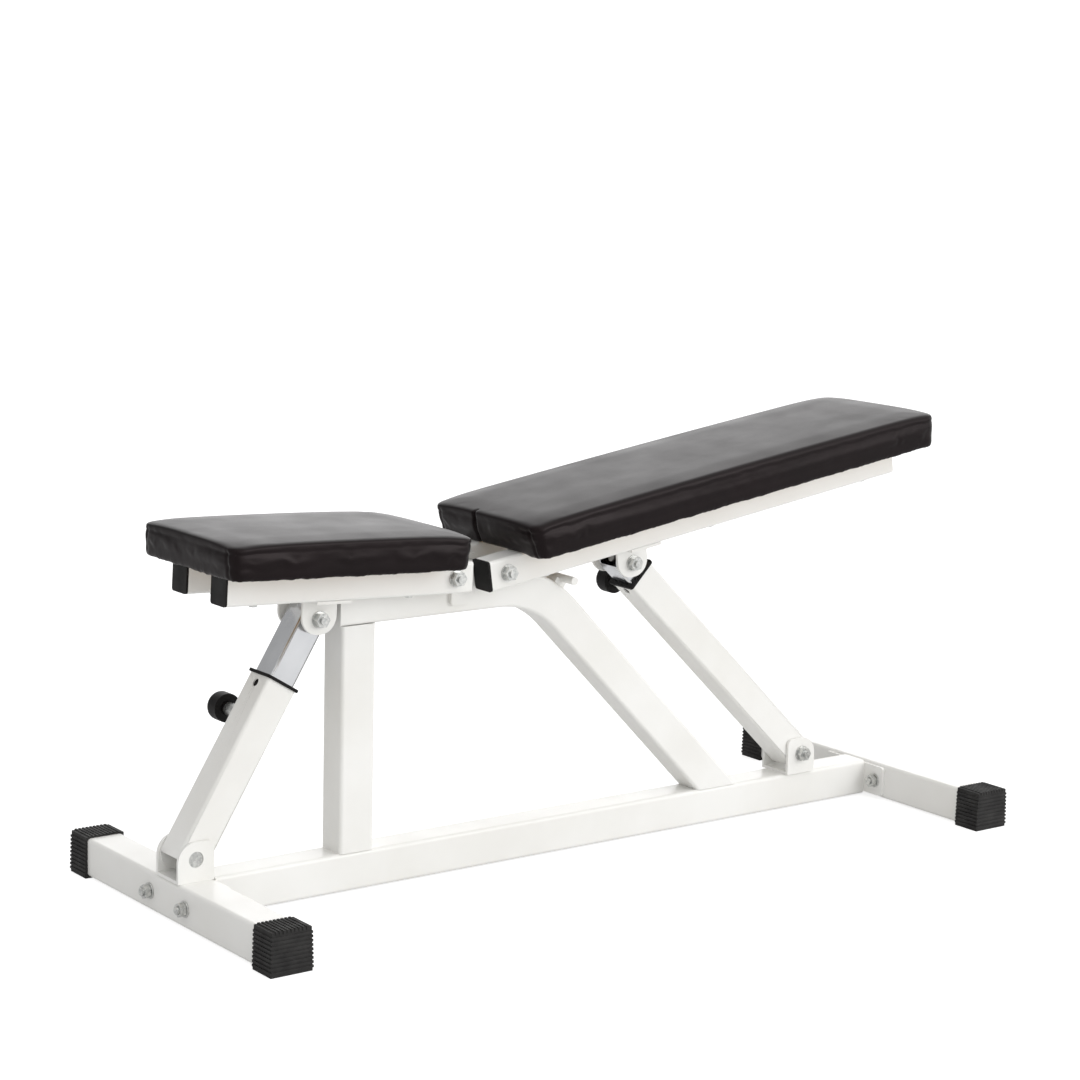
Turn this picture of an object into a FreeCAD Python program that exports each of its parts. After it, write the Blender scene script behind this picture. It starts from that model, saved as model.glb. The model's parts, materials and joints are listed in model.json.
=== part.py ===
import FreeCAD, Part

import math
import os
import re

Vector = FreeCAD.Vector
Rotation = FreeCAD.Rotation

# Driving dimensions, millimetres and degrees. +X runs along the bench to the head end, +Z is up,
# and the origin is on the floor below the middle of the base.
DIMENSIONS = {
    # base
    "floor_gap": 2.5, "tube_width": 45, "tube_height": 50, "tube_wall": 2.5, "tube_corner": 5,
    "foot_x": 572, "foot_width": 50, "foot_half": 249,
    "cap_length": 42, "cap_skin": 1.6, "cap_flare": 1.6, "rib_depth": 1.2, "rib_height": 3, "rib_step": 5.2,
    "rib_floor": 4, "rib_end_depth": 0.8,
    "flange_half": 60, "flange_thick": 5, "flange_height": 43, "flange_corner": 4, "flange_bolt_y": 44,
    "flange_bolt_radius": 5, "flange_hole_radius": 5.2, "flange_hex": 16, "flange_head": 6.4, "flange_nut": 8,
    "flange_washer_radius": 10.5, "flange_washer_thick": 2, "flange_bolt_tail": 11,
    # upright and top tube
    "post_x": -337.6, "post_depth": 50, "top_low": 346, "leg_reach": 312.9, "bend_radius": 150,
    "stop_x": -22.6, "stop_radius": 5.5, "stop_half": 44, "saddle_thick": 5, "saddle_half_long": 9,
    "saddle_half_wide": 18, "saddle_wrap": 2.5, "end_plate_thick": 3,
    # hinges
    "pivot_level": 401.5, "seat_pivot_x": -220.6, "back_pivot_x": -140.6, "pivot_radius": 5,
    "hinge_inner": 22.5, "hinge_thick": 6, "hinge_above": 11.5, "hinge_below": 17.5, "hinge_side": 18,
    "hinge_overlap": 12, "hinge_corner": 11, "tab_short": 28, "tab_root": 3, "tab_corner": 5,
    "pivot_play": 0.1, "thread_play": 0.02, "thrust_play": 0.05,
    "washer_thick": 2, "washer_radius": 11, "bolt_head": 6.4, "bolt_nut": 8, "bolt_hex": 17, "bolt_tail": 11,
    # seat and backrest, in frames that lie along their rails
    "seat_tilt": 2.64, "back_tilt": 8.63, "rail_width": 35, "rail_height": 40, "rail_inner": 29.5,
    "rail_wall": 2, "rail_corner": 4, "plug_thick": 3, "plug_depth": 12, "plug_play": 0.1, "plug_wall": 2,
    "plug_corner": 1.8,
    "seat_rail_front": 331, "seat_rail_rear": 25, "back_rail_front": 26, "back_rail_head": 677,
    "board_thick": 12, "board_inset": 15, "pad_clear": 0.3, "pad_corner": 18,
    "seat_pad_front": 352, "seat_pad_rear": -5, "seat_pad_half": 114, "seat_pad_top": 65,
    "back_pad_low": 11, "back_pad_head": 721, "back_pad_half": 117, "back_pad_top": 69,
    "pad_bolt_radius": 3, "pad_hole_radius": 3.3, "pad_bolt_hex": 10, "pad_bolt_head": 4,
    "pad_bolt_short": 1,
    # struts
    "strut_half": 22.5, "strut_wall": 2, "slider_half": 19, "slider_wall": 2, "slider_play": 0.3,
    "end_flat": 0.2,
    "ear_half": 25, "ear_thick": 4, "ear_round": 24, "ear_corner": 8,
    "ear_above": 22, "low_ear_inner": 23.2, "high_ear_inner": 25.8,
    "front_low_x": -572, "front_low_level": 80.7, "rear_low_x": 412.2, "rear_low_level": 81.7,
    "seat_arm": 178.6, "back_arm": 227.3, "arm_drop": 48.8, "ear_below": 19.5, "arm_plate": 4,
    "arm_round": 23, "arm_web_short": 2, "stub_play": 0.2,
    "front_strut_end": 236, "rear_strut_end": 413, "front_pin_at": 185, "rear_pin_at": 380,
    "front_slider_start": 30, "rear_slider_start": 46, "front_hole_step": 20, "rear_hole_step": 44,
    "collar_half": 25, "collar_thick": 4, "collar_depth": 25, "collar_corner": 4, "spigot_corner": 2,
    "mouth_corner": 2.5, "strut_bolt_radius": 5,
    "front_eye_radius": 10.4, "sight_hole_radius": 5.3, "sight_hole_back": 11,
    "front_pivot_radius": 10, "front_pivot_hole": 10.1, "front_pivot_sunk": 1.5,
    # pull pins
    "housing_radius": 8.5, "housing_end": 62, "pin_radius": 5, "pin_play": 0.15, "pin_tip": 19.35,
    "pin_hole_play": 0.5, "pin_relief": 1, "knob_cover": 8,
    "knob_neck_radius": 9, "knob_radius": 18.5, "knob_gap": 0.5, "knob_neck_end": 65, "knob_end": 88,
    "knob_round": 6,
    # cutting tools
    "drill_reach": 100,
}
RIBS_PER_SIDE = 9
FRONT_PIN_HOLES = 4
REAR_PIN_HOLES = 7
SEAT_BOLT_PLACES = (-285, -60)
BACK_BOLT_PLACES = (70, 350, 630)

doc = FreeCAD.newDocument("WeightBench")
sheet = doc.addObject("Spreadsheet::Sheet", "Dims")
for row, (alias, value) in enumerate(DIMENSIONS.items(), start=1):
    sheet.set(f"A{row}", alias)
    sheet.set(f"B{row}", str(value))
    sheet.setAlias(f"B{row}", alias)
doc.recompute()

NODES = []


# ---------------------------------------------------------------- helpers

def bound(text):
    """Write an expression with each alias pointing at the sheet."""
    def on_sheet(word):
        return f"Dims.{word[0]}" if word[0] in DIMENSIONS else word[0]

    return re.sub(r"[a-z_]\w*", on_sheet, str(text))


def size(text):
    """Work out an expression of the sheet's numbers, for sizes that a property can't bind."""
    value = doc.getObject("Dims").evalExpression(bound(text))
    return float(getattr(value, "Value", value))


def frame_at(x, z, angle):
    """Placement expression of a frame turned by angle about the bench's Y axis."""
    return bound(f"placement(vector({x}; 0; {z}); rotation(vector(0; 1; 0); {angle}))")


def node(solid, label, frame=None):
    """Name a finished sub-part and put it in its frame."""
    solid.Label = label
    if frame:
        solid.setExpression("Placement", frame)
    NODES.append(solid)
    return solid


def box(name, low, high):
    """A block between two corners given as expressions."""
    solid = doc.addObject("Part::Box", name)
    for side, start, end in zip(("Length", "Width", "Height"), low, high):
        solid.setExpression(side, bound(f"({end}) - ({start})"))
    for axis, start in zip("xyz", low):
        solid.setExpression(f"Placement.Base.{axis}", bound(start))
    return solid


def rounded(solid, along, radius):
    """Round the four edges of a block that run along one axis."""
    edges = {"x": (9, 10, 11, 12), "y": (2, 4, 6, 8), "z": (1, 3, 5, 7)}[along]
    fillet = doc.addObject("Part::Fillet", solid.Name + "Rounded")
    fillet.Base = solid
    fillet.Edges = [(edge, radius, radius) for edge in edges]
    return fillet


def cut(name, base, *tools):
    solid = doc.addObject("Part::Cut", name)
    solid.Base = base
    solid.Tool = tools[0] if len(tools) == 1 else group(name + "Tools", tools)
    return solid


def fuse(name, *pieces):
    solid = doc.addObject("Part::MultiFuse", name)
    solid.Shapes = list(pieces)
    solid.Refine = True
    return solid


def group(name, pieces):
    """Separate solids held in one node."""
    solid = doc.addObject("Part::Compound", name)
    solid.Links = list(pieces)
    return solid


def tube(name, along, low, high, wall, corner):
    """A rectangular tube, open at both ends."""
    axis = "xyz".index(along)
    inner_low = [f"({value}) + {wall}" for value in low]
    inner_high = [f"({value}) - {wall}" for value in high]
    inner_low[axis] = f"({low[axis]}) - 1"
    inner_high[axis] = f"({high[axis]}) + 1"
    radius = size(corner)
    outer = rounded(box(name + "Outer", low, high), along, radius)
    inner = rounded(box(name + "Inner", inner_low, inner_high), along, radius - size(wall))
    return cut(name, outer, inner)


TURNS = {
    "x": Rotation(Vector(0, 1, 0), 90),
    "y": Rotation(Vector(1, 0, 0), -90),
    "z": Rotation(),
}


def seat_on_axis(solid, along, at, start, end):
    """Stand a round or six-sided solid along an axis, from start to end."""
    solid.Placement = FreeCAD.Placement(Vector(), TURNS[along])
    solid.setExpression("Height", bound(f"({end}) - ({start})"))
    place = list(at)
    place.insert("xyz".index(along), start)
    for axis, value in zip("xyz", place):
        solid.setExpression(f"Placement.Base.{axis}", bound(value))
    return solid


def cylinder(name, along, at, start, end, radius):
    solid = doc.addObject("Part::Cylinder", name)
    solid.setExpression("Radius", bound(radius))
    return seat_on_axis(solid, along, at, start, end)


def hexagon(name, along, at, start, end, across):
    solid = doc.addObject("Part::Prism", name)
    solid.Polygon = 6
    solid.setExpression("Circumradius", bound(f"({across}) / sqrt(3)"))
    return seat_on_axis(solid, along, at, start, end)


def ring(name, along, at, start, end, radius, hole):
    return cut(name, cylinder(name + "Disc", along, at, start, end, radius),
               cylinder(name + "Hole", along, at, f"({start}) - 1", f"({end}) + 1", hole))


def nut(name, along, at, start, end, across, hole):
    return cut(name, hexagon(name + "Body", along, at, start, end, across),
               cylinder(name + "Thread", along, at, f"({start}) - 1", f"({end}) + 1", hole))


def bolt(name, along, at, head, tip, radius, across):
    """A hexagon bolt; head is the (start, end) of its head, whose nearer end to tip is its seat."""
    inside = head[1] if size(tip) > size(head[1]) else head[0]
    ends = (inside, tip) if size(tip) > size(inside) else (tip, inside)
    return fuse(name, hexagon(name + "Head", along, at, *head, across),
                cylinder(name + "Shank", along, at, *ends, radius))


def rounded_path(corners, closed):
    """Lines and tangent arcs through (x, y, radius) corners."""
    points = [Vector(x, y, 0) for x, y, _ in corners]
    count = len(points)
    entries, exits, arcs = [], [], []
    for index, point in enumerate(points):
        radius = corners[index][2]
        if radius == 0 or (not closed and index in (0, count - 1)):
            entries.append(point)
            exits.append(point)
            arcs.append(None)
            continue
        back = (points[index - 1] - point).normalize()
        ahead = (points[(index + 1) % count] - point).normalize()
        half = back.getAngle(ahead) / 2
        centre = point + (back + ahead).normalize() * (radius / math.sin(half))
        middle = centre + (point - centre).normalize() * radius
        entries.append(point + back * (radius / math.tan(half)))
        exits.append(point + ahead * (radius / math.tan(half)))
        arcs.append(Part.Arc(entries[-1], middle, exits[-1]))
    lines = []
    for index in range(count if closed else count - 1):
        if arcs[index]:
            lines.append(arcs[index])
        start, end = exits[index], entries[(index + 1) % count]
        if start.distanceToPoint(end) > 1e-6:
            lines.append(Part.LineSegment(start, end))
    return lines


def sketch(name, corners, upright=False, closed=True):
    """A sketch with rounded corners, flat or standing in the XZ plane."""
    drawing = doc.addObject("Sketcher::SketchObject", name)
    if upright:
        drawing.Placement = FreeCAD.Placement(Vector(), Rotation(Vector(1, 0, 0), 90))
    values = [(size(x), size(y), size(radius)) for x, y, radius in corners]
    drawing.addGeometry(rounded_path(values, closed), False)
    return drawing


def plate(name, corners, start, end, upright=False):
    """A plate cut to an outline: flat from z start to end, or upright from y start to end."""
    solid = doc.addObject("Part::Extrusion", name)
    solid.Base = sketch(name + "Outline", corners, upright)
    solid.DirMode = "Custom"
    solid.Dir = Vector(0, 1, 0) if upright else Vector(0, 0, 1)
    solid.Solid = True
    solid.setExpression("LengthFwd", bound(f"({end}) - ({start})"))
    solid.setExpression("Placement.Base." + ("y" if upright else "z"), bound(start))
    return solid


SIDES = (("near", -1), ("far", 1))


def span(side, inner, outer):
    """The y range of a piece from its inner and outer distance, on one side of the bench."""
    return (f"-({outer})", f"-({inner})") if side < 0 else (inner, outer)


def drill(name, along, at, radius):
    """A cutting cylinder that passes right through anything on its axis."""
    return cylinder(name, along, at, "-drill_reach", "drill_reach", radius)


# ---------------------------------------------------------------- base frame

tube_top = "(floor_gap + tube_height)"
tube_mid = "(floor_gap + tube_height / 2)"
top_tube_mid = "(top_low + tube_height / 2)"
flange_face = "(foot_x - foot_width / 2 - flange_thick)"

base = tube("BaseTube", "x", (f"-{flange_face}", "-tube_width / 2", "floor_gap"),
            (flange_face, "tube_width / 2", tube_top), "tube_wall", "tube_corner")
node(base, "base_tube")

post = tube("FrontPost", "z", ("post_x - post_depth / 2", "-tube_width / 2", tube_top),
            ("post_x + post_depth / 2", "tube_width / 2", "top_low"), "tube_wall", "tube_corner")
node(post, "front_post")


def tube_section(inset):
    """Corners of the top tube's section, drawn in by inset."""
    half_wide, half_high = f"(tube_width / 2 - {inset})", f"(tube_height / 2 - {inset})"
    corner = f"tube_corner - {inset}"
    return [(f"-{half_wide}", f"-{half_high}", corner), (half_wide, f"-{half_high}", corner),
            (half_wide, half_high, corner), (f"-{half_wide}", half_high, corner)]


def across_top_tube(x):
    """Placement at x of a section drawn square to the level part of the top tube."""
    turn = Rotation(Vector(0, 1, 0), Vector(0, 0, 1), Vector(1, 0, 0), "XYZ")
    return FreeCAD.Placement(Vector(size(x), 0, size(top_tube_mid)), turn)


def top_tube():
    """Level over the post, one bend, then down at 45 degrees on to the base tube."""
    start = "post_x - post_depth / 2"
    spine_corners = [(start, top_tube_mid, 0), (f"leg_reach - {top_tube_mid}", top_tube_mid, "bend_radius"),
                     ("leg_reach + tube_height", "-tube_height", 0)]
    solids = []
    for name, inset in (("TopTubeOuter", "0"), ("TopTubeInner", "tube_wall")):
        section = sketch(name + "Section", tube_section(inset))
        section.Placement = across_top_tube(start)
        sweep = doc.addObject("Part::Sweep", name)
        sweep.Sections = [section]
        sweep.Spine = (sketch(name + "Spine", spine_corners, upright=True, closed=False),
                       ["Edge1", "Edge2", "Edge3"])
        sweep.Solid = True
        sweep.Frenet = False
        solids.append(sweep)
    below = box("TopTubeFoot", ("0", "-tube_width", "-2 * tube_height"), ("foot_x", "tube_width", tube_top))
    return cut("TopTube", cut("TopTubeHollow", *solids), below)


node(top_tube(), "top_tube")

end_plate = group("TopTubeEndPlaced", [plate("TopTubeEnd", tube_section("0"), "0", "end_plate_thick")])
end_plate.Placement = across_top_tube("post_x - post_depth / 2 - end_plate_thick")
node(end_plate, "top_tube_end_plate")


def foot(label, side):
    """A foot tube, its flange plate and its two rubber caps; side is the sign of x."""
    centre = f"({side} * foot_x)"
    across = tube(f"{label}Foot", "y", (f"{centre} - foot_width / 2", "-foot_half", "floor_gap"),
                  (f"{centre} + foot_width / 2", "foot_half", tube_top), "tube_wall", "tube_corner")
    middle = f"{side} * ({flange_face} + flange_thick / 2)"
    slab = rounded(box(f"{label}FlangeSlab",
                       (f"{middle} - flange_thick / 2", "-flange_half", f"{tube_mid} - flange_height / 2"),
                       (f"{middle} + flange_thick / 2", "flange_half", f"{tube_mid} + flange_height / 2")),
                   "x", size("flange_corner"))
    holes = {"Foot": [], "Flange": []}
    for name, sign in SIDES:
        for piece, made in holes.items():
            made.append(cylinder(f"{label}{piece}Hole{name}", "x", (f"{sign} * flange_bolt_y", tube_mid),
                                 f"{centre} - foot_width", f"{centre} + foot_width", "flange_hole_radius"))
        foot_cap(f"{label}_{name}", centre, sign)
    node(cut(f"{label}FootTube", across, *holes["Foot"]), f"{label}_foot_tube")
    node(cut(f"{label}Flange", slab, *holes["Flange"]), f"{label}_flange_plate")


def foot_cap(label, centre, sign):
    """A rubber sleeve over a foot tube's end, flared to the floor, ribbed on its sides and top."""
    top = f"({tube_top} + cap_skin)"
    half = "(foot_width / 2 + cap_skin)"
    start, end = span(sign, "foot_half + cap_skin - cap_length", "foot_half + cap_skin")
    body = doc.addObject("Part::Wedge", label + "Body")
    for name, value in {"Xmin": f"-{half} - cap_flare", "Xmax": f"{half} + cap_flare", "X2min": f"-{half}",
                        "X2max": half, "Ymin": "0", "Ymax": top, "Zmin": "0", "Z2min": "0",
                        "Zmax": "cap_length - rib_end_depth", "Z2max": "cap_length - rib_end_depth"}.items():
        body.setExpression(name, bound(value))
    body.Placement = FreeCAD.Placement(Vector(), Rotation(Vector(1, 0, 0), 90))
    body.setExpression("Placement.Base.x", bound(centre))
    body.setExpression("Placement.Base.y", bound(end if sign < 0 else f"{end} - rib_end_depth"))
    pieces = [body]
    for index in range(RIBS_PER_SIDE):
        low = f"(rib_step * {index} + rib_floor)"
        reach = f"({half} + cap_flare * (1 - {low} / {top}) + rib_depth)"
        pieces.append(box(f"{label}Rib{index}", (f"{centre} - {reach}", start, low),
                          (f"{centre} + {reach}", end, f"{low} + rib_height")))
        place = f"({centre} + rib_step * ({index} - {RIBS_PER_SIDE - 1} / 2))"
        pieces.append(box(f"{label}TopRib{index}",
                          (f"{place} - rib_height / 2", start, f"{top} - rib_height"),
                          (f"{place} + rib_height / 2", end, f"{top} + rib_depth")))
    socket_low, socket_high = span(sign, "0", "foot_half")
    socket = rounded(box(label + "Socket", (f"{centre} - foot_width / 2", socket_low, "floor_gap"),
                         (f"{centre} + foot_width / 2", socket_high, tube_top)), "y", size("tube_corner"))
    node(cut(label + "Cap", fuse(label + "Solid", *pieces), socket), f"{label}_foot_cap")


foot("front", -1)
foot("rear", 1)


def flange_fasteners():
    """Two bolts through each foot and flange, heads towards the head end of the bench."""
    bolts, washers, nuts = [], [], []
    for label, side in (("Front", -1), ("Rear", 1)):
        low, high = span(side, flange_face, "(foot_x + foot_width / 2)")
        for name, sign in SIDES:
            at = (f"{sign} * flange_bolt_y", tube_mid)
            name = label + name
            seat, nut_seat = f"({high} + flange_washer_thick)", f"({low} - flange_washer_thick)"
            bolts.append(bolt(name + "FlangeBolt", "x", at, (seat, f"{seat} + flange_head"),
                              f"{nut_seat} - flange_bolt_tail", "flange_bolt_radius", "flange_hex"))
            for face, start, end in (("Head", high, seat), ("Nut", nut_seat, low)):
                washers.append(ring(f"{name}{face}Washer", "x", at, start, end, "flange_washer_radius",
                                    "flange_hole_radius"))
            nuts.append(nut(name + "FlangeNut", "x", at, f"{nut_seat} - flange_nut", nut_seat, "flange_hex",
                            "flange_bolt_radius + thread_play"))
    node(group("FlangeBolts", bolts), "flange_bolts")
    node(group("FlangeWashers", washers), "flange_washers")
    node(group("FlangeNuts", nuts), "flange_nuts")


flange_fasteners()


low_ear_face = "(low_ear_inner + ear_thick)"


def strut_bracket(label, x, level, hole_radius, lean):
    """A U bracket on top of a base tube: a floor plate and two ears, rounded where the strut leans away.

    lean is the sign of x in which the strut rises.
    """
    floor = box(f"{label}BracketFloor", (f"{x} - ear_half", f"-{low_ear_face}", tube_top),
                (f"{x} + ear_half", low_ear_face, f"{tube_top} + ear_thick"))
    front, back = f"{x} - {lean} * ear_half", f"{x} + {lean} * ear_half"
    corners = [(front, tube_top, "0"), (back, tube_top, "0"), (back, f"{level} + ear_above", "ear_corner"),
               (front, f"{level} + ear_above", "ear_round")]
    ears = []
    for name, sign in SIDES:
        start, end = span(sign, "low_ear_inner", low_ear_face)
        ears.append(plate(f"{label}Bracket{name}", corners, start, end, upright=True))
    hole = drill(f"{label}BracketHole", "y", (x, level), hole_radius)
    node(cut(f"{label}Bracket", fuse(f"{label}BracketBody", floor, *ears), hole), f"{label}_strut_bracket")


strut_bracket("front", "front_low_x", "front_low_level", "front_pivot_hole", 1)
strut_bracket("rear", "rear_low_x", "rear_low_level", "strut_bolt_radius + pivot_play", -1)

front_pivot = cylinder("FrontPivotBody", "y", ("front_low_x", "front_low_level"),
                       f"-{low_ear_face} + front_pivot_sunk", f"{low_ear_face} - front_pivot_sunk",
                       "front_pivot_radius")
node(group("FrontPivotPin", [front_pivot]), "front_strut_pivot_pin")


def through_bolt(label, at, face, frame=None):
    """A bolt across the bench between two outer faces, with washers, and a nut on the near side."""
    washer_face = f"({face} + washer_thick)"
    hole = "pivot_radius + pivot_play"
    pieces = [
        bolt(f"{label}Bolt", "y", at, (washer_face, f"{washer_face} + bolt_head"),
             f"-{washer_face} - bolt_tail", "pivot_radius", "bolt_hex"),
        ring(f"{label}WasherNear", "y", at, f"-{washer_face}", f"-{face}", "washer_radius", hole),
        ring(f"{label}WasherFar", "y", at, face, washer_face, "washer_radius", hole),
        nut(f"{label}Nut", "y", at, f"-{washer_face} - bolt_nut", f"-{washer_face}", "bolt_hex",
            "pivot_radius + thread_play"),
    ]
    node(group(f"{label}BoltSet", pieces), f"{label}_bolt_set", frame)


rail_face = "(rail_inner + rail_width)"
through_bolt("rear_strut_pivot", ("rear_low_x", "rear_low_level"), low_ear_face)
through_bolt("seat_pivot", ("seat_pivot_x", "pivot_level"), rail_face)
through_bolt("back_pivot", ("back_pivot_x", "pivot_level"), rail_face)


def hinge_plates():
    """Wide at the top where both pivots pass, with a narrower tab welded down the tube's side."""
    high, low, tab_low = "pivot_level + hinge_above", "pivot_level - hinge_below", "top_low + hinge_overlap"
    left, right = "seat_pivot_x - hinge_side", "back_pivot_x + hinge_side"
    tab_left, tab_right = "seat_pivot_x + hinge_side", "back_pivot_x - tab_short"
    corners = [(left, high, "hinge_corner"), (left, low, "hinge_corner"),
               (tab_left, low, "tab_root"), (tab_left, tab_low, "tab_corner"),
               (tab_right, tab_low, "tab_corner"), (tab_right, low, "tab_root"),
               (right, low, "hinge_corner"), (right, high, "hinge_corner")]
    spacers = []
    for name, sign in SIDES:
        start, end = span(sign, "hinge_inner", "hinge_inner + hinge_thick")
        slab = plate(f"Hinge{name}", corners, start, end, upright=True)
        thrust = span(sign, "hinge_inner + hinge_thick + thrust_play", "rail_inner - thrust_play")
        holes = []
        for pivot in ("seat", "back"):
            at = (f"{pivot}_pivot_x", "pivot_level")
            holes.append(drill(f"Hinge{name}{pivot}", "y", at, "pivot_radius + pivot_play"))
            spacers.append(ring(f"Thrust{name}{pivot}", "y", at, *thrust, "washer_radius",
                                "pivot_radius + pivot_play"))
        node(cut(f"HingePlate{name}", slab, *holes), f"hinge_plate_{name}")
    node(group("ThrustWashers", spacers), "hinge_thrust_washers")


hinge_plates()


def stop_bar():
    """A round bar across the outside of the bend, on a small saddle, where the back rails come down."""
    centre_x = f"(leg_reach - {top_tube_mid} - bend_radius * tan(22.5 deg))"
    lean = f"asin((stop_x - {centre_x}) / (bend_radius + tube_height / 2))"
    bend = frame_at(centre_x, f"({top_tube_mid} - bend_radius)", lean)
    face = "(bend_radius + tube_height / 2)"
    at = ("0", f"{face} + saddle_thick + stop_radius")
    bar = cylinder("StopBar", "y", at, "-stop_half", "stop_half", "stop_radius")
    node(group("StopBarPlaced", [bar]), "stop_bar", bend)
    block = box("SaddleBlock", ("-saddle_half_long", "-saddle_half_wide", f"{face} - saddle_wrap"),
                ("saddle_half_long", "saddle_half_wide", f"{face} + saddle_thick + saddle_wrap"))
    bed = drill("SaddleBed", "y", at, "stop_radius")
    bend_surface = drill("SaddleUnder", "y", ("0", "0"), face)
    node(cut("StopBarSaddle", block, bed, bend_surface), "stop_bar_saddle", bend)


stop_bar()


# ---------------------------------------------------------------- seat and backrest

seat_frame = frame_at("seat_pivot_x", "pivot_level", "seat_tilt * 1 deg")
back_frame = frame_at("back_pivot_x", "pivot_level", "-back_tilt * 1 deg")
rail_under = "(-rail_height / 2)"
rail_top = "(rail_height / 2)"
rail_mid = "(rail_inner + rail_width / 2)"
board_top = f"({rail_top} + board_thick)"


def rails(label, start, end, bolt_places, frame):
    """Two rails with a pivot hole on the origin, holes for the pad bolts, and plugs in their ends."""
    plugs = []
    for name, sign in SIDES:
        low, high = span(sign, "rail_inner", rail_face)
        body = tube(f"{label}Rail{name}", "x", (start, low, rail_under), (end, high, rail_top),
                    "rail_wall", "rail_corner")
        holes = [drill(f"{label}Rail{name}Pivot", "y", ("0", "0"), "pivot_radius + pivot_play")]
        for index, place in enumerate(bolt_places):
            holes.append(drill(f"{label}Rail{name}Hole{index}", "z", (place, f"{sign} * {rail_mid}"),
                               "pad_hole_radius"))
        node(cut(f"{label}Rail{name}Drilled", body, *holes), f"{label}_rail_{name}", frame)

        stem_low = (f"({low}) + rail_wall + plug_play", f"{rail_under} + rail_wall + plug_play")
        stem_high = (f"({high}) - rail_wall - plug_play", f"{rail_top} - rail_wall - plug_play")
        lid = rounded(box(f"{label}{name}Lid", (f"{start} - plug_thick", low, rail_under),
                          (start, high, rail_top)), "x", size("rail_corner"))
        front = plug_stem(f"{label}{name}Front", start, f"{start} + plug_depth", stem_low, stem_high,
                          (start, f"{start} + plug_depth"))
        plugs.append(fuse(f"{label}{name}FrontPlug", lid, front))
        plugs.append(plug_stem(f"{label}{name}RearPlug", f"{end} - plug_depth", end, stem_low, stem_high,
                               (f"{end} - plug_depth", f"{end} - plug_thick")))
    node(group(f"{label}Plugs", plugs), f"{label}_rail_plugs", frame)


def plug_stem(name, start, end, low, high, hollow):
    """The part of a plug that sits in a rail's mouth; hollow is the x range left empty in it."""
    stem = rounded(box(name + "Stem", (start, *low), (end, *high)), "x", size("plug_corner"))
    inside = box(name + "Hollow", (hollow[0], *(f"{value} + plug_wall" for value in low)),
                 (hollow[1], *(f"{value} - plug_wall" for value in high)))
    return cut(name, stem, inside)


def pad(label, outline, top, bolt_places, frame):
    """A plywood board on the rails, sunk in a pad of foam and vinyl, held by bolts through the rails."""
    block = plate(f"{label}PadBlock", outline("0"), f"{rail_top} + pad_clear", top)
    pocket = plate(f"{label}PadPocket", outline("board_inset - pad_clear"), f"{rail_top} - 1",
                   f"{board_top} + pad_clear")
    board = plate(f"{label}BoardBlank", outline("board_inset"), rail_top, board_top)
    bolts, holes = [], []
    for index, place in enumerate(bolt_places):
        for name, sign in SIDES:
            at = (place, f"{sign} * {rail_mid}")
            bolts.append(bolt(f"{label}PadBolt{name}{index}", "z", at,
                              (f"{rail_under} - pad_bolt_head", rail_under),
                              f"{board_top} - pad_bolt_short", "pad_bolt_radius", "pad_bolt_hex"))
            holes.append(cylinder(f"{label}BoardHole{name}{index}", "z", at, f"{rail_top} - 1",
                                  f"{board_top} - pad_bolt_short + thread_play",
                                  "pad_bolt_radius + thread_play"))
    node(cut(f"{label}Board", board, *holes), f"{label}_board", frame)
    node(cut(f"{label}Pad", block, pocket), f"{label}_pad", frame)
    node(group(f"{label}PadBolts", bolts), f"{label}_pad_bolts", frame)


def pad_outline(low, high, half, inset):
    """Corners of a pad seen from above, drawn in by inset."""
    low, high = f"{low} + ({inset})", f"{high} - ({inset})"
    half = f"{half} - ({inset})"
    corner = f"pad_corner - ({inset})"
    return [(low, f"-({half})", corner), (high, f"-({half})", corner),
            (high, half, corner), (low, half, corner)]


def seat_outline(inset):
    return pad_outline("-seat_pad_front", "seat_pad_rear", "seat_pad_half", inset)


def back_outline(inset):
    return pad_outline("back_pad_low", "back_pad_head", "back_pad_half", inset)


rails("seat", "-seat_rail_front", "seat_rail_rear", SEAT_BOLT_PLACES, seat_frame)
pad("seat", seat_outline, "seat_pad_top", SEAT_BOLT_PLACES, seat_frame)
rails("back", "-back_rail_front", "back_rail_head", BACK_BOLT_PLACES, back_frame)
pad("back", back_outline, "back_pad_top", BACK_BOLT_PLACES, back_frame)


high_ear_face = "(high_ear_inner + ear_thick)"


def arm_ears(label, x):
    """Two ears below the rails, rounded at the bottom, and the strut's bolt hole through them."""
    bottom = "-arm_drop - ear_below"
    corners = [(f"{x} - ear_half", rail_under, "0"), (f"{x} - ear_half", bottom, "arm_round"),
               (f"{x} + ear_half", bottom, "arm_round"), (f"{x} + ear_half", rail_under, "0")]
    ears = []
    for name, sign in SIDES:
        start, end = span(sign, "high_ear_inner", high_ear_face)
        ears.append(plate(f"{label}Ear{name}", corners, start, end, upright=True))
    return ears, drill(f"{label}EarHole", "y", (x, "-arm_drop"), "strut_bolt_radius + pivot_play")


def seat_bracket():
    """The ears hang from one plate across both seat rails."""
    x = "(-seat_arm)"
    ears, hole = arm_ears("seat", x)
    web = box("seatWeb", (f"{x} - ear_half", f"-{rail_face} + arm_web_short", f"{rail_under} - arm_plate"),
              (f"{x} + ear_half", f"{rail_face} - arm_web_short", rail_under))
    node(cut("seatBracket", fuse("seatBracketBody", web, *ears), hole), "seat_strut_bracket", seat_frame)
    through_bolt("seat_strut", (x, "-arm_drop"), high_ear_face, frame=seat_frame)


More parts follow.
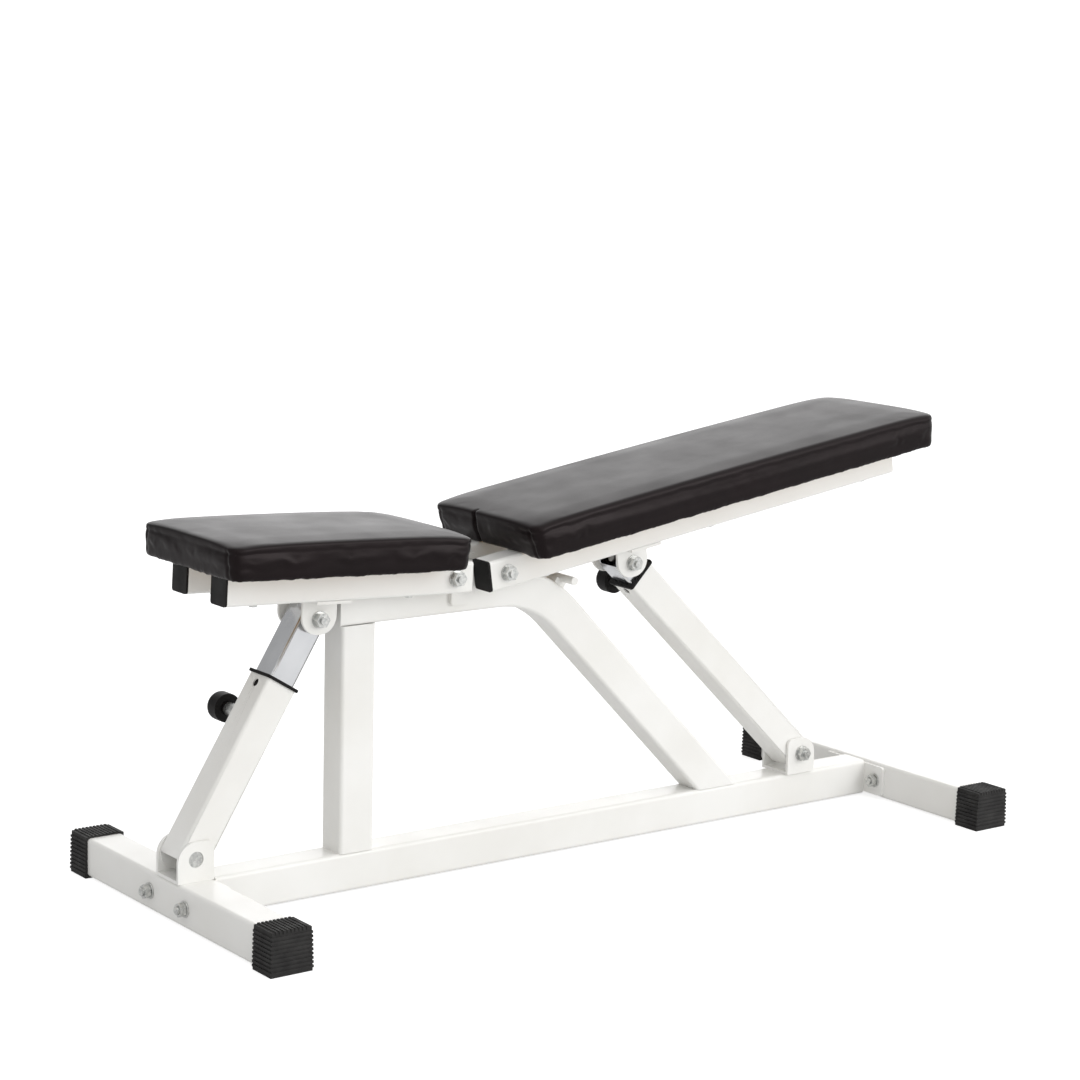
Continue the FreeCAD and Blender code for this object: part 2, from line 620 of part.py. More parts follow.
def back_bracket():
    """Each ear is the leg of an angle under its own rail, with its own short bolt."""
    x = "back_arm"
    ears, hole = arm_ears("back", x)
    at = (x, "-arm_drop")
    washer_face = f"({high_ear_face} + washer_thick)"
    angles, stubs = [], []
    for (name, sign), ear in zip(SIDES, ears):
        start, end = span(sign, "high_ear_inner", f"{rail_face} - arm_web_short")
        wing = box(f"backWing{name}", (f"{x} - ear_half", start, f"{rail_under} - arm_plate"),
                   (f"{x} + ear_half", end, rail_under))
        angles.append(cut(f"backAngle{name}", fuse(f"backAngleBody{name}", wing, ear), hole))
        shank = cylinder(f"backStubShank{name}", "y", at,
                         *span(sign, "high_ear_inner + stub_play", f"{washer_face} + bolt_tail"),
                         "strut_bolt_radius")
        cap = hexagon(f"backStubCap{name}", "y", at, *span(sign, washer_face, f"{washer_face} + bolt_nut"),
                      "bolt_hex")
        stubs.append(fuse(f"backStub{name}", cap, shank))
        stubs.append(ring(f"backStubWasher{name}", "y", at, *span(sign, high_ear_face, washer_face),
                          "washer_radius", "strut_bolt_radius + pivot_play"))
    node(group("backBracket", angles), "back_strut_bracket", back_frame)
    node(group("backStubs", stubs), "back_strut_bolt_set", back_frame)


seat_bracket()
back_bracket()


# ---------------------------------------------------------------- telescopic struts

def square_tube(name, start, end, half, wall, corner, round_end):
    """A square tube along x, with one end rounded off in the side view: "start" or "end"."""
    body = tube(name, "x", (start, f"-{half}", f"-{half}"), (end, half, half), wall, corner)
    end_round = f"{half} - end_flat"
    near, far = (end_round, "0") if round_end == "start" else ("0", end_round)
    corners = [(start, f"-{half}", near), (end, f"-{half}", far), (end, half, far), (start, half, near)]
    side = plate(name + "Side", corners, f"-{half}", half, upright=True)
    shaped = doc.addObject("Part::Common", name + "Shaped")
    shaped.Base = body
    shaped.Tool = side
    return shaped


def strut(label, low, high, end, pin_at, slider_start, hole_step, hole_count, eye, pivot_hole):
    """An outer tube on the base, a sliding inner tube, a collar and a pull pin on the far side.

    low and high are the (x, z) of the two pivots, eye and pivot_hole the radii of the holes on them.
    """
    rise, run = f"(({high[1]}) - ({low[1]}))", f"(({high[0]}) - ({low[0]}))"
    frame = frame_at(*low, f"-atan2({rise}; {run})")
    length = f"sqrt({rise} ^ 2 + {run} ^ 2)"
    name = label.capitalize()
    pin = (pin_at, "0")

    outer = square_tube(f"{name}Outer", "-strut_half", end, "strut_half", "strut_wall",
                        "tube_corner - 1", "start")
    openings = [
        drill(f"{name}OuterPivot", "y", ("0", "0"), pivot_hole),
        cylinder(f"{name}OuterPin", "y", pin, "0", "drill_reach", "pin_radius + pin_play"),
        cylinder(f"{name}Sight", "z", (f"{end} - sight_hole_back", "0"), "0", "drill_reach",
                 "sight_hole_radius"),
    ]
    node(cut(f"{name}OuterTube", outer, *openings), f"{label}_outer_tube", frame)

    collar(name, label, end, pin, frame)

    slider = square_tube(f"{name}Slider", slider_start, f"{length} + slider_half", "slider_half",
                         "slider_wall", "tube_corner - 2", "end")
    holes = [drill(f"{name}SliderEye", "y", (length, "0"), eye)]
    for index in range(hole_count):
        holes.append(cylinder(f"{name}SliderHole{index}", "y", (f"{pin_at} - {hole_step} * {index}", "0"),
                              "0", "drill_reach", "pin_radius + pin_hole_play"))
    node(cut(f"{name}InnerTube", slider, *holes), f"{label}_inner_tube", frame)

    pull_pin(name, label, pin, frame)


def bush(name, start, end, half, corner):
    """A square block round the x axis with its long edges rounded."""
    return rounded(box(name, (start, f"-{half}", f"-{half}"), (end, half, half)), "x", size(corner))


def collar(name, label, end, pin, frame):
    """A plastic bush in the outer tube's mouth, with a flange over its end."""
    flange = bush(f"{name}CollarFlange", end, f"{end} + collar_thick", "collar_half", "collar_corner")
    spigot = bush(f"{name}CollarSpigot", f"{end} - collar_depth", end,
                  "(strut_half - strut_wall - plug_play)", "spigot_corner")
    mouth = bush(f"{name}CollarMouth", f"{end} - collar_depth - 1", f"{end} + collar_thick + 1",
                 "(slider_half + slider_play)", "mouth_corner")
    relief = cylinder(f"{name}CollarRelief", "y", pin, "0", "drill_reach", "pin_radius + pin_relief")
    body = fuse(f"{name}CollarBody", flange, spigot)
    node(cut(f"{name}Collar", body, mouth, relief), f"{label}_collar", frame)


def pull_pin(name, label, pin, frame):
    """The housing welded to the outer tube, the steel pin through it and the knob on the pin."""
    housing = ring(f"{name}Housing", "y", pin, "strut_half", "housing_end", "housing_radius",
                   "pin_radius + pin_play")
    node(housing, f"{label}_pin_housing", frame)
    steel_end = "knob_end - knob_cover"
    steel = cylinder(f"{name}Pin", "y", pin, "pin_tip", steel_end, "pin_radius")
    node(group(f"{name}PinPlaced", [steel]), f"{label}_pull_pin", frame)
    head = doc.addObject("Part::Fillet", f"{name}KnobHead")
    head.Base = cylinder(f"{name}KnobBlank", "y", pin, "knob_neck_end", "knob_end", "knob_radius")
    head.Edges = [(edge, size("knob_round"), size("knob_round")) for edge in (1, 3)]
    neck = cylinder(f"{name}KnobNeck", "y", pin, "housing_end + knob_gap", "knob_neck_end + knob_round",
                    "knob_neck_radius")
    socket = cylinder(f"{name}KnobSocket", "y", pin, "housing_end", steel_end, "pin_radius")
    node(cut(f"{name}Knob", fuse(f"{name}KnobBody", head, neck), socket), f"{label}_pin_knob", frame)


seat_turn = "(seat_tilt * 1 deg)"
back_turn = "(back_tilt * 1 deg)"
strut("front", ("front_low_x", "front_low_level"),
      (f"seat_pivot_x - seat_arm * cos{seat_turn} - arm_drop * sin{seat_turn}",
       f"pivot_level + seat_arm * sin{seat_turn} - arm_drop * cos{seat_turn}"),
      "front_strut_end", "front_pin_at", "front_slider_start", "front_hole_step", FRONT_PIN_HOLES,
      "front_eye_radius", "front_pivot_hole")
strut("rear", ("rear_low_x", "rear_low_level"),
      (f"back_pivot_x + back_arm * cos{back_turn} + arm_drop * sin{back_turn}",
       f"pivot_level + back_arm * sin{back_turn} - arm_drop * cos{back_turn}"),
      "rear_strut_end", "rear_pin_at", "rear_slider_start", "rear_hole_step", REAR_PIN_HOLES,
      "strut_bolt_radius + pin_hole_play", "strut_bolt_radius + pivot_play")


# ---------------------------------------------------------------- checks and export

doc.recompute()
for item in doc.Objects:
    if "Invalid" in item.State or "Error" in item.State:
        raise RuntimeError(f"{item.Label} failed to compute")
for item in NODES:
    if item.Shape.isNull() or not item.Shape.isValid() or not item.Shape.Solids:
        raise RuntimeError(f"{item.Label} has no valid solid")

os.makedirs("parts", exist_ok=True)
for item in NODES:
    item.Shape.exportStep(f"parts/{item.Label}.step")
    print(item.Label, len(item.Shape.Solids), round(item.Shape.Volume))
print(len(NODES), "sub-parts")
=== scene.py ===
import json
import math

import bpy
import bmesh
from mathutils import Matrix, Vector, noise


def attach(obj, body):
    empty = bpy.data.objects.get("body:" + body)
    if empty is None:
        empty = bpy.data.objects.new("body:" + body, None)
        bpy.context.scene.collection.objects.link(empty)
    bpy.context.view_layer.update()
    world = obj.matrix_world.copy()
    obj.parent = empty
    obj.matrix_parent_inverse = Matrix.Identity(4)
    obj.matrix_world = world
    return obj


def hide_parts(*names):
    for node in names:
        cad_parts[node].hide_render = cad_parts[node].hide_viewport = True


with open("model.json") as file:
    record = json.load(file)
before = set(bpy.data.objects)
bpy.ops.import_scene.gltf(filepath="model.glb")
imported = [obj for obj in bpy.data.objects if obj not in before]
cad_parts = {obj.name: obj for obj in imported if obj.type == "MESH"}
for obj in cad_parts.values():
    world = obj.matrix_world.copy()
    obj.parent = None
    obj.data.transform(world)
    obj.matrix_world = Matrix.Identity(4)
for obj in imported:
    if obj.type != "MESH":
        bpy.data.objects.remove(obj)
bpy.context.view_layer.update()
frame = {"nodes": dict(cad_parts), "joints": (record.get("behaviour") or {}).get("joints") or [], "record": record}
nodes = frame["nodes"]
scene = bpy.context.scene
MM = 0.001


# ---------------------------------------------------------------- camera

CAMERA_PLACE = (-2.1345, -2.7921, 1.0349)
CAMERA_TURN = (0.643, 0.173, 0.024)  # yaw from the +y axis, pitch down and roll, in radians
CAMERA_LENS = 89.8


def add_camera():
    """A long lens, standing to the front left and a little above the bench."""
    yaw, pitch, roll = CAMERA_TURN
    sight = Vector((math.sin(yaw) * math.cos(pitch), math.cos(yaw) * math.cos(pitch), -math.sin(pitch)))
    level = Vector((math.cos(yaw), -math.sin(yaw), 0))
    above = level.cross(sight)
    right = level * math.cos(roll) + above * math.sin(roll)
    up = right.cross(sight)
    data = bpy.data.cameras.new("camera")
    data.sensor_width = 36
    data.lens = CAMERA_LENS
    data.clip_end = 100
    camera = bpy.data.objects.new("camera", data)
    turn = Matrix((right, up, -sight)).transposed().to_4x4()
    camera.matrix_world = Matrix.Translation(CAMERA_PLACE) @ turn
    scene.collection.objects.link(camera)
    scene.camera = camera


add_camera()


# ---------------------------------------------------------------- materials

class Shader:
    """A small builder for node materials."""

    def __init__(self, name, color, roughness, metallic=0.0):
        self.material = bpy.data.materials.new(name)
        self.material.use_nodes = True
        self.tree = self.material.node_tree
        self.surface = self.tree.nodes["Principled BSDF"]
        self.set("Metallic", metallic)
        self.set("Base Color", (*color, 1))
        self.set("Roughness", roughness)
        self.place = self.node("ShaderNodeTexCoord").outputs["Object"]

    def node(self, kind):
        return self.tree.nodes.new(kind)

    def set(self, socket, value):
        self.surface.inputs[socket].default_value = value

    def link(self, output, target):
        self.tree.links.new(output, target)

    def noise(self, scale, detail=3.0, roughness=0.5, place=None):
        made = self.node("ShaderNodeTexNoise")
        made.inputs["Scale"].default_value = scale
        made.inputs["Detail"].default_value = detail
        made.inputs["Roughness"].default_value = roughness
        self.link(place or self.place, made.inputs["Vector"])
        return made.outputs["Fac"]

    def cells(self, scale):
        made = self.node("ShaderNodeTexVoronoi")
        made.inputs["Scale"].default_value = scale
        self.link(self.place, made.inputs["Vector"])
        return made.outputs["Distance"]

    def stretched(self, scale):
        made = self.node("ShaderNodeMapping")
        made.inputs["Scale"].default_value = scale
        self.link(self.place, made.inputs["Vector"])
        return made.outputs["Vector"]

    def colors(self, fac, first, second, start=0.35, end=0.65):
        """Vary the base colour between two colours."""
        made = self.node("ShaderNodeValToRGB")
        made.color_ramp.elements[0].position = start
        made.color_ramp.elements[1].position = end
        made.color_ramp.elements[0].color = (*first, 1)
        made.color_ramp.elements[1].color = (*second, 1)
        self.link(fac, made.inputs["Fac"])
        self.link(made.outputs["Color"], self.surface.inputs["Base Color"])

    def rough(self, fac, low, high, start=0.3, end=0.7):
        """Vary the roughness between two values."""
        made = self.node("ShaderNodeMapRange")
        made.inputs["From Min"].default_value = start
        made.inputs["From Max"].default_value = end
        made.inputs["To Min"].default_value = low
        made.inputs["To Max"].default_value = high
        self.link(fac, made.inputs["Value"])
        self.link(made.outputs["Result"], self.surface.inputs["Roughness"])

    def bump(self, *layers):
        """Layers of (height output, strength, distance in metres), fine to coarse."""
        normal = None
        for height, strength, distance in layers:
            made = self.node("ShaderNodeBump")
            made.inputs["Strength"].default_value = strength
            made.inputs["Distance"].default_value = distance
            self.link(height, made.inputs["Height"])
            if normal:
                self.link(normal, made.inputs["Normal"])
            normal = made.outputs["Normal"]
        self.link(normal, self.surface.inputs["Normal"])


def white_paint():
    """Ivory white powder coat with a fine orange peel."""
    shader = Shader("white_paint", (0.84, 0.83, 0.80), 0.34)
    shader.colors(shader.noise(6, 4), (0.80, 0.79, 0.755), (0.86, 0.855, 0.83))
    shader.rough(shader.noise(22, 4), 0.28, 0.40)
    shader.set("Coat Weight", 0.15)
    shader.set("Coat Roughness", 0.16)
    shader.bump((shader.noise(650, 2), 0.10, 0.0002), (shader.noise(120, 2), 0.08, 0.0004))
    return shader.material


def vinyl():
    """Black upholstery vinyl: fine pebble grain, glossy at a low angle."""
    shader = Shader("vinyl", (0.003, 0.002, 0.002), 0.35)
    shader.colors(shader.noise(9, 5), (0.0028, 0.0014, 0.0016), (0.0048, 0.0024, 0.0028))
    shader.rough(shader.noise(14, 4), 0.32, 0.40)
    shader.set("Specular IOR Level", 0.18)
    shader.set("Specular Tint", (1.0, 0.87, 0.88, 1))
    shader.set("Sheen Weight", 0.02)
    shader.set("Sheen Roughness", 0.30)
    shader.bump((shader.cells(720), 0.16, 0.0003), (shader.noise(1600, 2), 0.10, 0.0001),
                (shader.noise(16, 2), 0.05, 0.002))
    return shader.material


def rubber():
    """Matt black rubber of the foot caps."""
    shader = Shader("rubber", (0.016, 0.015, 0.014), 0.7)
    shader.colors(shader.noise(40, 5), (0.011, 0.010, 0.010), (0.025, 0.024, 0.023))
    shader.set("Specular IOR Level", 0.35)
    shader.rough(shader.noise(60, 4), 0.58, 0.78)
    shader.bump((shader.noise(1100, 3), 0.25, 0.0002), (shader.noise(160, 3), 0.12, 0.0004))
    return shader.material


def black_plastic():
    """Black plastic of plugs, collars and knobs."""
    shader = Shader("black_plastic", (0.006, 0.005, 0.005), 0.5)
    shader.colors(shader.noise(30, 4), (0.004, 0.0035, 0.0035), (0.008, 0.007, 0.007))
    shader.set("Specular IOR Level", 0.17)
    shader.rough(shader.noise(50, 4), 0.40, 0.56)
    shader.bump((shader.cells(1500), 0.18, 0.0001))
    return shader.material


def nylon():
    """Off-white nylon of the hidden thrust washers."""
    shader = Shader("nylon", (0.75, 0.74, 0.70), 0.45)
    shader.colors(shader.noise(60, 3), (0.70, 0.69, 0.65), (0.78, 0.77, 0.73))
    shader.bump((shader.noise(900, 2), 0.1, 0.0001))
    return shader.material


def chrome():
    """Bright plated tube with a faint mottle."""
    shader = Shader("chrome", (0.70, 0.71, 0.73), 0.16, 1.0)
    shader.colors(shader.noise(12, 4), (0.72, 0.73, 0.75), (0.84, 0.85, 0.87))
    shader.rough(shader.noise(90, 4), 0.12, 0.24)
    shader.bump((shader.noise(500, 2), 0.03, 0.0001))
    return shader.material


def zinc():
    """Zinc-plated bolts, nuts and washers."""
    shader = Shader("zinc", (0.60, 0.61, 0.60), 0.32, 1.0)
    shader.colors(shader.noise(220, 5), (0.50, 0.51, 0.50), (0.70, 0.70, 0.68))
    shader.rough(shader.noise(400, 4), 0.24, 0.42)
    shader.bump((shader.noise(900, 3), 0.12, 0.0001))
    return shader.material


def plywood():
    """Raw ply: long grain along the board."""
    shader = Shader("plywood", (0.50, 0.34, 0.19), 0.7)
    grain = shader.noise(26, 6, 0.6, shader.stretched((1.2, 14, 14)))
    shader.colors(grain, (0.38, 0.24, 0.12), (0.60, 0.43, 0.26))
    shader.bump((grain, 0.25, 0.0004))
    return shader.material


MATERIALS = {make.__name__: make() for make in (vinyl, rubber, black_plastic, nylon, chrome, zinc,
                                                plywood, white_paint)}


# ---------------------------------------------------------------- carried-over CAD nodes

# Tubes whose corners are rounded in the CAD already.
FOLDED_TUBES = ("base_tube", "front_post", "top_tube", "front_foot_tube", "rear_foot_tube",
                "front_outer_tube", "rear_outer_tube", "front_inner_tube", "rear_inner_tube",
                "seat_rail_near", "seat_rail_far", "back_rail_near", "back_rail_far")


def finish_nodes():
    """Give every CAD node its slot's material, and all but the folded tubes a small edge break."""
    for part in frame["record"]["subparts"]:
        piece = nodes[part["node"]]
        piece.data.materials.clear()
        piece.data.materials.append(MATERIALS[part["material_slot"]])
        weld = piece.modifiers.new("weld", "WELD")
        weld.merge_threshold = 1e-6
        if part["node"] in FOLDED_TUBES:
            continue
        bevel = piece.modifiers.new("edge", "BEVEL")
        bevel.width = 0.5 * MM
        bevel.segments = 2
        bevel.limit_method = "ANGLE"
        bevel.angle_limit = math.radians(35)
        bevel.harden_normals = True
        flat = piece.modifiers.new("flat faces", "WEIGHTED_NORMAL")
        flat.keep_sharp = True


finish_nodes()


# ---------------------------------------------------------------- pads

def tilted(joint_name, tilt):
    """The frame that lies along a pair of rails: origin on their pivot, x towards the head end."""
    pivot = next(joint["pos_m"] for joint in frame["joints"] if joint["name"] == joint_name)
    return Matrix.Translation(pivot) @ Matrix.Rotation(math.radians(tilt), 4, "Y")


# How far the rails slope from level at rest, in degrees.
SEAT_SLOPE, BACK_SLOPE = 2.64, -8.63
SEAT_FRAME = tilted("seat_tilt", SEAT_SLOPE)
BACK_FRAME = tilted("back_tilt", BACK_SLOPE)


def outline(start, end, half, corner, inset, steps=8, along=40):
    """Points round a pad with round corners, drawn in by inset."""
    start, end, half = start + inset, end - inset, half - inset
    corner = max(corner - inset, 2 * MM)
    points = []
    for x, turn, side in ((end, 0, 1), (start, 90, 1), (start, 180, -1), (end, 270, -1)):
        centre_x = x - corner if x == end else x + corner
        centre_y = side * (half - corner)
        for step in range(steps + 1):
            angle = math.radians(turn + 90 * step / steps)
            points.append(Vector((centre_x + corner * math.cos(angle),
                                  centre_y + corner * math.sin(angle))))
    path = []
    for first, second in zip(points, points[1:] + points[:1]):
        count = max(1, round((second - first).length / ((end - start) / along)))
        path += [first.lerp(second, index / count) for index in range(count)]
    return path


# Half of a pad's cross-section: how far in, in millimetres, and the share of its height.
PAD_PROFILE = [(4, 0.0), (1.8, 0.02), (0.8, 0.09), (0.2, 0.25), (0, 0.55), (0.2, 0.86), (1.0, 0.955),
               (2.6, 0.99), (6, 1.0), (40, 1.02), (80, 1.03)]


def pad_blank(shape, low, high):
    """A closed blank with a flat underside, rounded edges and a low crown."""
    mesh = bmesh.new()
    rings = []
    for inset, level in PAD_PROFILE:
        rings.append([mesh.verts.new((point.x, point.y, low + (high - low) * level))
                      for point in outline(*shape, inset * MM)])
    for lower, upper in zip(rings, rings[1:]):
        join_rings(mesh, lower, upper)
    mesh.faces.new(list(reversed(rings[0])))
    mesh.faces.new(rings[-1])
    bmesh.ops.triangulate(mesh, faces=[face for face in mesh.faces if len(face.verts) > 4])
    return mesh


def join_rings(mesh, lower, upper):
    """Bridge two rings whose point counts may differ by walking both in step."""
    first, second = 0, 0
    count, other = len(lower), len(upper)
    while first < count or second < other:
        if second * count <= first * other and second < other:
            mesh.faces.new((lower[first % count], upper[(second + 1) % other], upper[second % other]))
            second += 1
        else:
            mesh.faces.new((lower[first % count], lower[(first + 1) % count], upper[second % other]))
            first += 1


def new_object(name, data):
    made = bpy.data.objects.new(name, data)
    scene.collection.objects.link(made)
    return made


def applied(piece):
    """Replace a piece's mesh by what its modifiers make of it."""
    graph = bpy.context.evaluated_depsgraph_get()
    mesh = bpy.data.meshes.new_from_object(piece.evaluated_get(graph))
    piece.modifiers.clear()
    piece.data = mesh
    return mesh


def from_edges(point, shape):
    """How far a point of a pad is in from its long sides and from its ends."""
    start, end, half = shape[:3]
    return half - abs(point.y), min(point.x - start, end - point.x)


def clamped(value):
    return min(1.0, max(0.0, value))


def bell(value, width):
    return math.exp(-(value / width) ** 2)


CLOTH_FRAMES = 20
SIDE_SWELL, EDGE_SWELL, TOP_SWELL = 0.8 * MM, 0.3 * MM, 1.2 * MM


def swell_limit(rest, shape, low, high):
    """How far the cloth may carry a point: little at the edges, more on the sides, most on top."""
    if rest.z > high - 3 * MM:
        inside = clamped((min(from_edges(rest, shape)) - 5 * MM) / (35 * MM))
        return EDGE_SWELL + TOP_SWELL * inside * inside * (3 - 2 * inside)
    return SIDE_SWELL * clamped((rest.z - low - 3 * MM) / (12 * MM))


def inflate(piece, shape, low, high):
    """Cloth under a little pressure fills the cover; its flat underside stays on the board."""
    start = [vertex.co.copy() for vertex in piece.data.vertices]
    cloth = piece.modifiers.new("cloth", "CLOTH")
    cloth.settings.quality = 4
    cloth.settings.use_pressure = True
    cloth.settings.uniform_pressure_force = 4
    cloth.settings.tension_stiffness = 25
    cloth.settings.compression_stiffness = 25
    cloth.settings.bending_stiffness = 1.2
    cloth.settings.effector_weights.gravity = 0
    cloth.collision_settings.use_collision = False
    cloth.point_cache.frame_start = 1
    cloth.point_cache.frame_end = CLOTH_FRAMES
    for step in range(1, CLOTH_FRAMES + 1):
        scene.frame_set(step)
    mesh = applied(piece)
    scene.frame_set(1)
    for vertex, rest in zip(mesh.vertices, start):
        move = vertex.co - rest
        limit = swell_limit(rest, shape, low, high)
        if move.length > limit:
            move = move.normalized() * limit
        vertex.co = rest + move


# How far from an edge the cover is creased, and from an end its seam, its lean and its cut-back lip.
CREASE_REACH, SEAM_REACH, LEAN_REACH, LIP_REACH = 16 * MM, 9 * MM, 40 * MM, 30 * MM
# How far from a corner it is gathered, and dips.
CORNER_REACH, DIP_REACH = 50 * MM, 38 * MM
# Where the tucks in the ends stand from a long side, and how wide a tuck or the seam is.
TUCK_PLACE, GROOVE_WIDTH = 13 * MM, 2.6 * MM
# How far the lower edge of a pad's far end leans in.
END_LEAN = 5 * MM
# Half the span over both rails, and the run over which the lip grows back beside them.
RAILS_HALF, RAILS_CLEAR = 64 * MM, 25 * MM
# In millimetres: the rise along the top, its dip at the corners, the lip and its slow and quick waves.
TOP_RISE, CORNER_DIP = 1.6, 3.5
LIP_DROP, LIP_WAVE, LIP_RIPPLE = 3.6, 1.4, 1.0


def crowned(point, shape, level):
    """How far the top rises along the middle of the pad, less its dip at the corners."""
    start, end = shape[:2]
    from_side, from_end = from_edges(point, shape)
    swell = TOP_RISE * math.sin(math.pi * clamped((point.x - start) / (end - start)))
    dip = CORNER_DIP * bell(max(from_side, 0) + max(from_end, 0), DIP_REACH)
    return (swell - dip) * MM * min(1, (level - 0.5) * 2)


def hanging(along, point, at_rails):
    """How far the lip hangs under the pad's edge, in millimetres; nothing between the rails' sides."""
    slow = noise.noise(Vector((along * 1.1, 0.4, 2.2)))
    quick = noise.noise(Vector((along * 4, 5, 1)))
    hang = LIP_DROP + LIP_WAVE * slow + LIP_RIPPLE * quick
    return hang * clamped((abs(point.y) - RAILS_HALF) / RAILS_CLEAR) if at_rails else hang


def crease(mesh, shape, low, high, rail_end, undercut, seam):
    """Hand-pulled vinyl: a wavy lip under the edge, tucked corners and a fold below the top edge.

    Levels run from 0 at a pad's underside to 1 at its top. rail_end is the pad end (-1 start, 1 end)
    that the rails pass under, where the lip can't hang down. undercut is how far the start face leans
    in at the bottom; seam is how far from the middle line that face's cover is drawn together.
    """
    start, end = shape[:2]
    for vertex in mesh.vertices:
        point = vertex.co
        level = (point.z - low) / (high - low)
        from_side, from_end = from_edges(point, shape)
        edge = min(from_side, from_end)
        if level > 0.5:
            point.z += crowned(point, shape, level)
        if edge > CREASE_REACH:
            continue
        shell = 1 - max(edge, 0) / CREASE_REACH
        side = math.copysign(1, point.x - (start + end) / 2)
        along = point.x * 60 + point.y * 75
        pull = noise.noise(Vector((along, 3.1 * level, 7.7)))
        under_top = clamped((0.93 - level) / 0.12)
        corner = bell(from_side + from_end, CORNER_REACH)
        fold = bell(level - 0.76 + 0.04 * pull, 0.05) * (0.45 + 0.9 * corner)
        gather = corner * math.sin(level * 15 + pull * 3) * bell(level - 0.4, 0.28)
        hem = bell(max(level, 0), 0.22)
        tuck = 0.0
        if from_end < from_side:
            tuck = 1.1 * bell(from_side - TUCK_PLACE - 5 * MM * level, GROOVE_WIDTH) * under_top
        if seam is not None and side < 0 and from_end < SEAM_REACH:
            groove = bell(point.y - seam + 3 * MM * level, GROOVE_WIDTH)
            tuck += 3.4 * groove * clamped((1.04 - level) / 0.12)
            point.z -= 0.9 * MM * groove * clamped((level - 0.85) / 0.1)
        push = 0.6 * gather - 0.8 * fold + 0.35 * pull * under_top - 0.6 * hem * (1 + pull) - tuck
        outward = Vector((side, 0, 0))
        if from_side < from_end:
            outward = Vector((0, math.copysign(1, point.y), 0))
        point += outward * shell * MM * push
        at_rails = side == rail_end and from_end < LIP_REACH
        point.z -= shell * hem * hanging(along, point, at_rails) * MM
        if level < 1:
            lean = max(0, 1 - from_end / LEAN_REACH) * (1 - level) ** 1.3
            point.x -= side * (undercut if side < 0 else END_LEAN) * lean


def upholstered(name, node, body, shape, low, high, place, rail_end, undercut, seam=None):
    """One pad: a blank, swollen by cloth simulation, creased, and set on its rails."""
    blank = pad_blank(shape, low, high)
    mesh = bpy.data.meshes.new(name)
    blank.to_mesh(mesh)
    blank.free()
    piece = new_object(name, mesh)
    remesh = piece.modifiers.new("remesh", "REMESH")
    remesh.mode = "VOXEL"
    remesh.voxel_size = 3.5 * MM
    applied(piece)
    smooth = piece.modifiers.new("smooth", "SMOOTH")
    smooth.iterations = 2
    applied(piece)
    inflate(piece, shape, low, high)
    divide = piece.modifiers.new("divide", "SUBSURF")
    divide.levels = 1
    divide.render_levels = 1
    applied(piece)
    crease(piece.data, shape, low, high, rail_end, undercut, seam)
    piece.data.transform(place)
    piece.data.shade_smooth()
    piece.data.materials.clear()
    piece.data.materials.append(MATERIALS["vinyl"])
    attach(piece, body)
    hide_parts(node)


# Start, end, half width and corner radius of each pad along its rails.
SEAT_SHAPE = (-354.5 * MM, -6 * MM, 113 * MM, 15 * MM)
BACK_SHAPE = (12.5 * MM, 720 * MM, 116 * MM, 15 * MM)
PAD_UNDER, SEAT_TOP, BACK_TOP = 20.4 * MM, 62 * MM, 66 * MM
upholstered("seat_cushion", "seat_pad", "seat", SEAT_SHAPE, PAD_UNDER, SEAT_TOP, SEAT_FRAME,
            rail_end=1, undercut=2 * MM)
upholstered("back_cushion", "back_pad", "backrest", BACK_SHAPE, PAD_UNDER, BACK_TOP, BACK_FRAME,
            rail_end=-1, undercut=8 * MM, seam=23 * MM)


# ---------------------------------------------------------------- stage and light

def seen_by_camera(tree, seen, unseen):
    """A strength that is one value straight to the camera and another to everything lit or mirrored."""
    path = tree.nodes.new("ShaderNodeLightPath")
    pick = tree.nodes.new("ShaderNodeMapRange")
    pick.inputs["To Min"].default_value = unseen
    pick.inputs["To Max"].default_value = seen
    tree.links.new(path.outputs["Is Camera Ray"], pick.inputs["Value"])
    return pick.outputs["Result"]


FLOOR_HALF = 14


def add_floor():
    """A white floor, overexposed to the camera so that it runs into the background."""
    mesh = bpy.data.meshes.new("floor")
    corners = [(x * FLOOR_HALF, y * FLOOR_HALF, 0) for x, y in ((-1, -1), (1, -1), (1, 1), (-1, 1))]
    mesh.from_pydata(corners, [], [(0, 1, 2, 3)])
    floor = new_object("floor", mesh)
    shader = Shader("floor", (0.55, 0.55, 0.55), 0.9)
    shader.set("Specular IOR Level", 0)
    shader.set("Emission Color", (1, 1, 1, 1))
    strength = seen_by_camera(shader.tree, seen=0.72, unseen=0.17)
    shader.link(strength, shader.surface.inputs["Emission Strength"])
    floor.data.materials.append(shader.material)


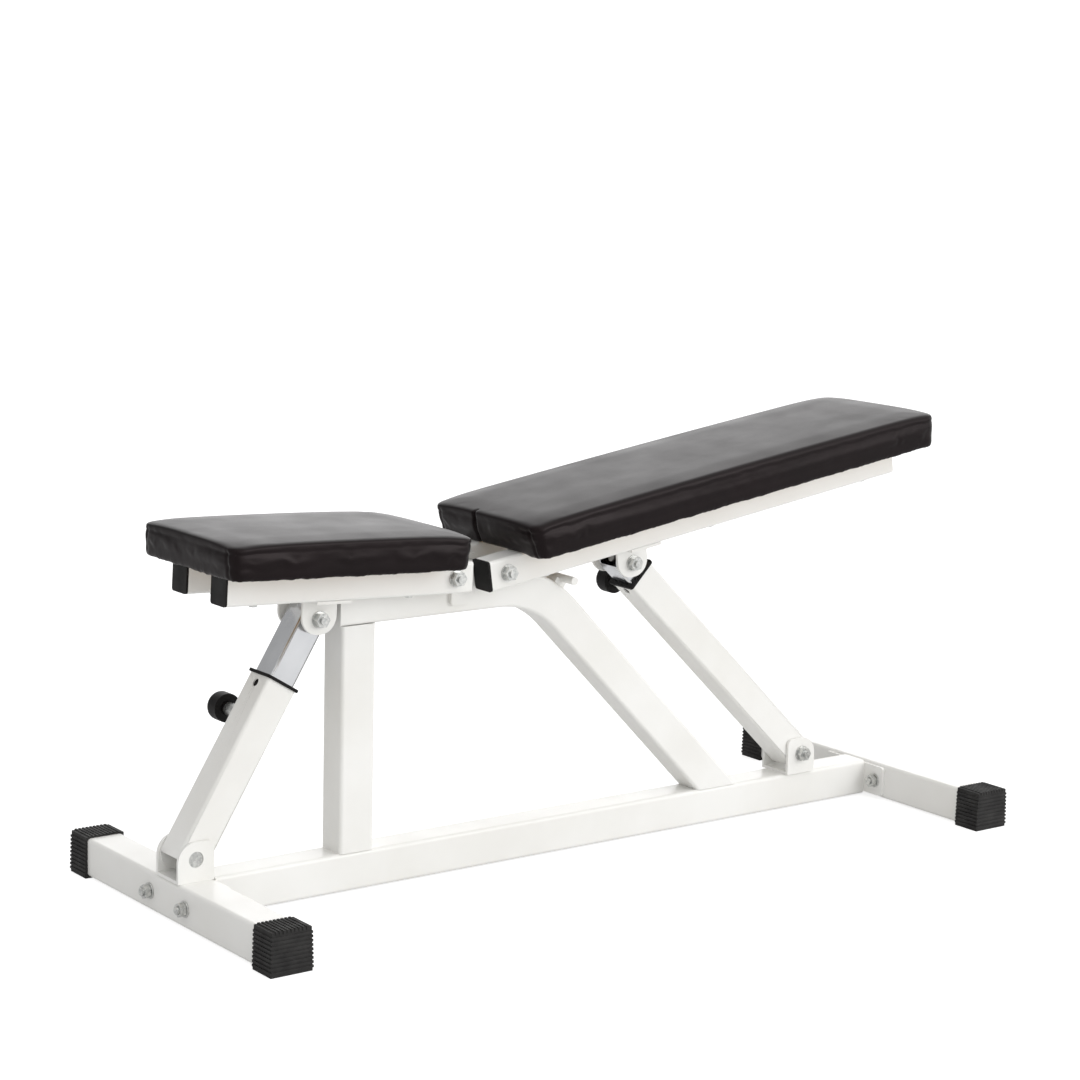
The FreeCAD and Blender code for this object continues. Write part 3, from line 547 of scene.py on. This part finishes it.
def add_light(name, place, target, width, power):
    """A square area light aimed at a point."""
    data = bpy.data.lights.new(name, "AREA")
    data.shape = "SQUARE"
    data.size = width
    data.energy = power
    light = new_object(name, data)
    light.location = place
    light.rotation_euler = (Vector(target) - Vector(place)).to_track_quat("-Z", "Y").to_euler()


def add_world():
    """A white room: brighter on the near side, glowing low behind the bench, dimmer to the front left."""
    world = bpy.data.worlds.new("studio")
    world.use_nodes = True
    tree = world.node_tree
    background = tree.nodes["Background"]
    background.inputs["Color"].default_value = (1, 1, 1, 1)
    direction = tree.nodes.new("ShaderNodeTexCoord").outputs["Generated"]

    def aligned(towards):
        """The cosine between a direction and towards, times the length of towards."""
        made = tree.nodes.new("ShaderNodeVectorMath")
        made.operation = "DOT_PRODUCT"
        tree.links.new(direction, made.inputs[0])
        made.inputs[1].default_value = towards
        return made.outputs["Value"]

    def joined(operation, first, second):
        """What a math operation makes of two terms, each an output or a number."""
        made = tree.nodes.new("ShaderNodeMath")
        made.operation = operation
        for value, socket in ((first, made.inputs[0]), (second, made.inputs[1])):
            if isinstance(value, float):
                socket.default_value = value
            else:
                tree.links.new(value, socket)
        return made.outputs["Value"]

    def spot(towards, rim, core, strength):
        """A soft round patch, up to strength in the middle."""
        made = tree.nodes.new("ShaderNodeMapRange")
        made.interpolation_type = "SMOOTHSTEP"
        made.inputs["From Min"].default_value = rim
        made.inputs["From Max"].default_value = core
        made.inputs["To Max"].default_value = strength
        tree.links.new(aligned(towards), made.inputs["Value"])
        return made.outputs["Result"]

    glow = spot((0.58, 0.78, 0.22), rim=0.75, core=0.99, strength=1.1)
    patch = spot((-0.60, -0.78, 0.17), rim=0.86, core=0.98, strength=0.75)
    room = joined("ADD", aligned((0.26, -0.58, 0.02)), 1.0)
    room = joined("SUBTRACT", joined("ADD", room, glow), patch)
    backdrop = seen_by_camera(tree, seen=1.2, unseen=0.0)
    tree.links.new(joined("MAXIMUM", room, backdrop), background.inputs["Strength"])
    scene.world = world


add_floor()
add_world()
add_light("key", place=(1.6, -3.0, 1.3), target=(0, 0, 0.3), width=1.4, power=18)
scene.view_settings.view_transform = "Standard"
